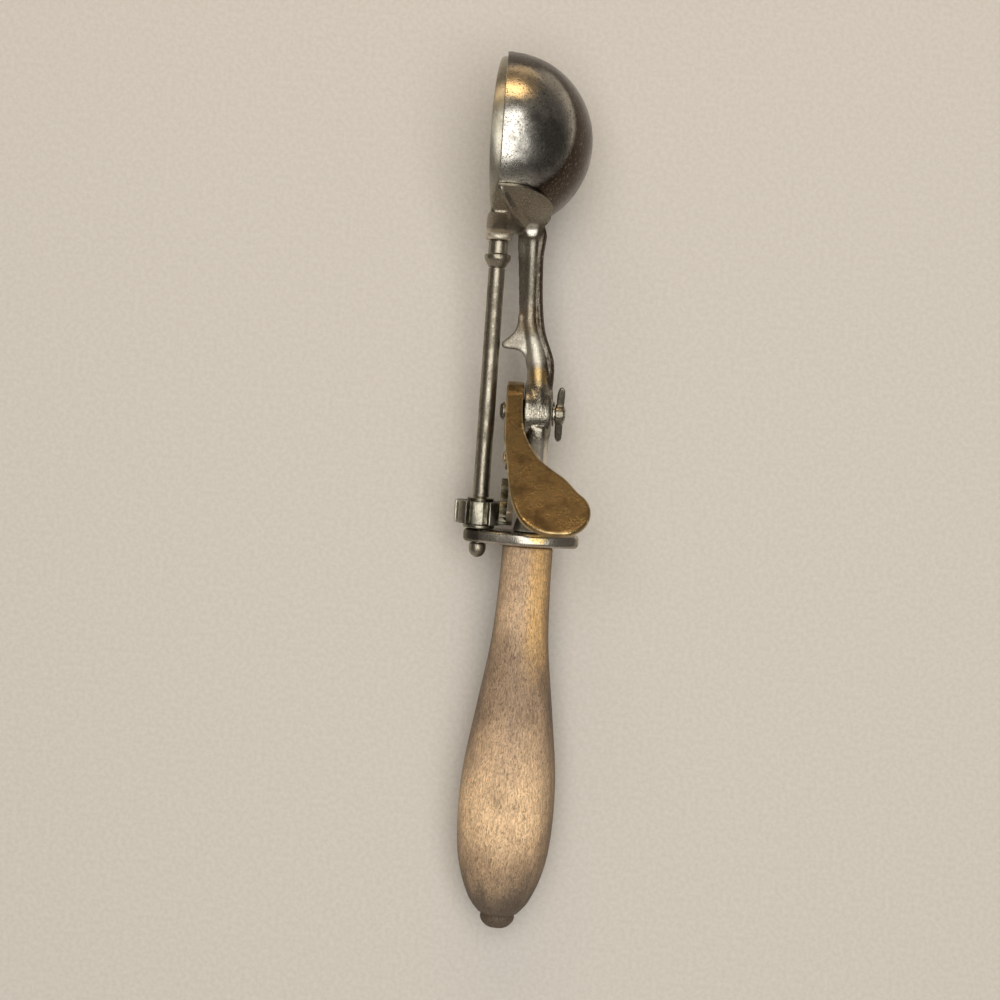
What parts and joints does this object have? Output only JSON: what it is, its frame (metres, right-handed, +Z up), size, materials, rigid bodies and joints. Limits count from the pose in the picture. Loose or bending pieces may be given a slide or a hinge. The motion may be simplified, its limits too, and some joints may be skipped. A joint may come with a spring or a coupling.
{
  "type": "ice cream scoop",
  "caption": "Thumb-lever ice cream scoop: a half-round metal bowl with a geared scraper, cast shank, brass thumb lever and turned wooden handle.",
  "frame": {"origin": "middle of the box's bottom face, on the surface that the scoop lies on", "axes": "+Y along the tool from the butt to the bowl, +Z up, +X to the side of the bowl's dome and the wing nut"},
  "size_m": [0.041, 0.2748, 0.0646],
  "materials": {
    "bowl_nickel": "worn nickel plate, spun",
    "blade_nickel": "worn nickel plate",
    "cast_nickel": "worn nickel plate on cast brass",
    "rod_nickel": "dull nickel plate",
    "gear_nickel": "dull nickel plate",
    "small_nickel": "tarnished nickel plate",
    "lever_brass": "aged cast brass",
    "spring_steel": "blued wire",
    "tang_iron": "plain",
    "handle_wood": "weathered, bare"
  },
  "bodies": {
    "body": {"bowl": "bowl_nickel", "tip_pin": "rod_nickel", "shank": "cast_nickel", "guard_plate": "cast_nickel", "handle": "handle_wood", "tang": "tang_iron", "pivot_screw": "small_nickel", "nut_washer": "small_nickel", "wing_nut": "small_nickel"},
    "lever": {"thumb_lever": "lever_brass", "sector_gear": "gear_nickel", "sector_rivet_1": "lever_brass", "sector_rivet_2": "lever_brass", "return_spring": "spring_steel", "spring_pin": "spring_steel"},
    "scraper": {"drive_rod": "rod_nickel", "rod_collar": "rod_nickel", "pinion": "gear_nickel", "thrust_washer": "gear_nickel", "finial": "rod_nickel", "scraper_blade": "blade_nickel"}
  },
  "joints": [
    {"name": "lever_press", "type": "hinge", "parent": "body", "child": "lever", "pos_m": [-0.01244, 0.02632, 0.0225], "axis": [1, 0, 0], "range_deg": [0, 38.57], "stiffness_Nm_per_rad": 0.1, "springref_deg": -28.65},
    {"name": "scraper_turn", "type": "hinge", "parent": "body", "child": "scraper", "pos_m": [-0.01244, -0.01112, 0.02037], "axis": [0, 0.9984, 0.0567], "range_deg": [0, 180]}
  ],
  "couplings": [
    {"joint": "scraper_turn", "follows": "lever_press", "ratio": 4.6667}
  ]
}
